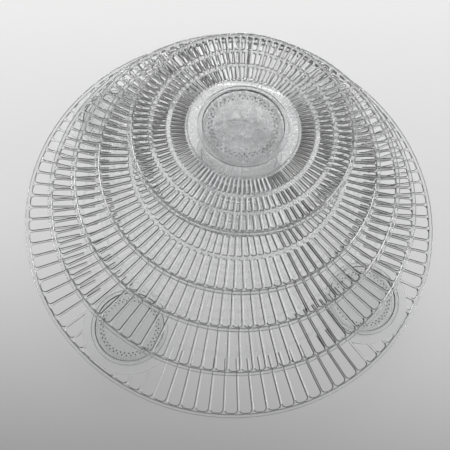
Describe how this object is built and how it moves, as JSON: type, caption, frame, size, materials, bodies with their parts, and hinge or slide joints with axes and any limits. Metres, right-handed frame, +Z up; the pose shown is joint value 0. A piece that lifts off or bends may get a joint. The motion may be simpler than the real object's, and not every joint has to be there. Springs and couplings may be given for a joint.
{
  "type": "tiered drying-tray tower",
  "caption": "Free-standing stepped tower of round clear slotted trays on central round legs, the largest on moulded feet, for drying food in moving air.",
  "frame": {"origin": "on the table, under the middle of the tower, on its vertical axis", "axes": "+Z up along the tower's axis; -Y towards the viewer, with two of the feet at the front left and the right"},
  "size_m": [0.34, 0.34, 0.1469],
  "materials": {
    "clear_tray": "clear, polished",
    "clear_hub": "clear, polished",
    "clear_leg": "clear, polished",
    "pad": "clear soft silicone"
  },
  "bodies": {
    "base": {"tray_1": "clear_tray", "hub_cap_1": "clear_hub", "foot_cap_a": "clear_hub", "foot_leg_a": "clear_leg", "foot_pad_a": "pad", "foot_cap_b": "clear_hub", "foot_leg_b": "clear_leg", "foot_pad_b": "pad", "foot_cap_c": "clear_hub", "foot_leg_c": "clear_leg", "foot_pad_c": "pad", "foot_cap_d": "clear_hub", "foot_leg_d": "clear_leg", "foot_pad_d": "pad"},
    "hub_2": {"leg_2": "clear_leg", "hub_cap_2": "clear_hub"},
    "turning_tray_2": {"tray_2": "clear_tray"},
    "hub_3": {"leg_3": "clear_leg", "hub_cap_3": "clear_hub"},
    "turning_tray_3": {"tray_3": "clear_tray"},
    "hub_4": {"leg_4": "clear_leg", "hub_cap_4": "clear_hub"},
    "turning_tray_4": {"tray_4": "clear_tray"},
    "hub_5": {"leg_5": "clear_leg", "hub_cap_5": "clear_hub"},
    "turning_tray_5": {"tray_5": "clear_tray"}
  },
  "joints": [
    {"name": "tier_2_lift", "type": "slide", "parent": "base", "child": "hub_2", "axis": [0, 0, 1], "range_m": [0, 0.045]},
    {"name": "tier_3_lift", "type": "slide", "parent": "hub_2", "child": "hub_3", "axis": [0, 0, 1], "range_m": [0, 0.045]},
    {"name": "tier_4_lift", "type": "slide", "parent": "hub_3", "child": "hub_4", "axis": [0, 0, 1], "range_m": [0, 0.045]},
    {"name": "tier_5_lift", "type": "slide", "parent": "hub_4", "child": "hub_5", "axis": [0, 0, 1], "range_m": [0, 0.045]},
    {"name": "tray_2_turn", "type": "hinge", "parent": "hub_2", "child": "turning_tray_2", "pos_m": [0, 0, 0.05], "axis": [0, 0, 1], "continuous": true},
    {"name": "tray_3_turn", "type": "hinge", "parent": "hub_3", "child": "turning_tray_3", "pos_m": [0, 0, 0.085], "axis": [0, 0, 1], "continuous": true},
    {"name": "tray_4_turn", "type": "hinge", "parent": "hub_4", "child": "turning_tray_4", "pos_m": [0, 0, 0.105], "axis": [0, 0, 1], "continuous": true},
    {"name": "tray_5_turn", "type": "hinge", "parent": "hub_5", "child": "turning_tray_5", "pos_m": [0, 0, 0.143], "axis": [0, 0, 1], "continuous": true}
  ]
}
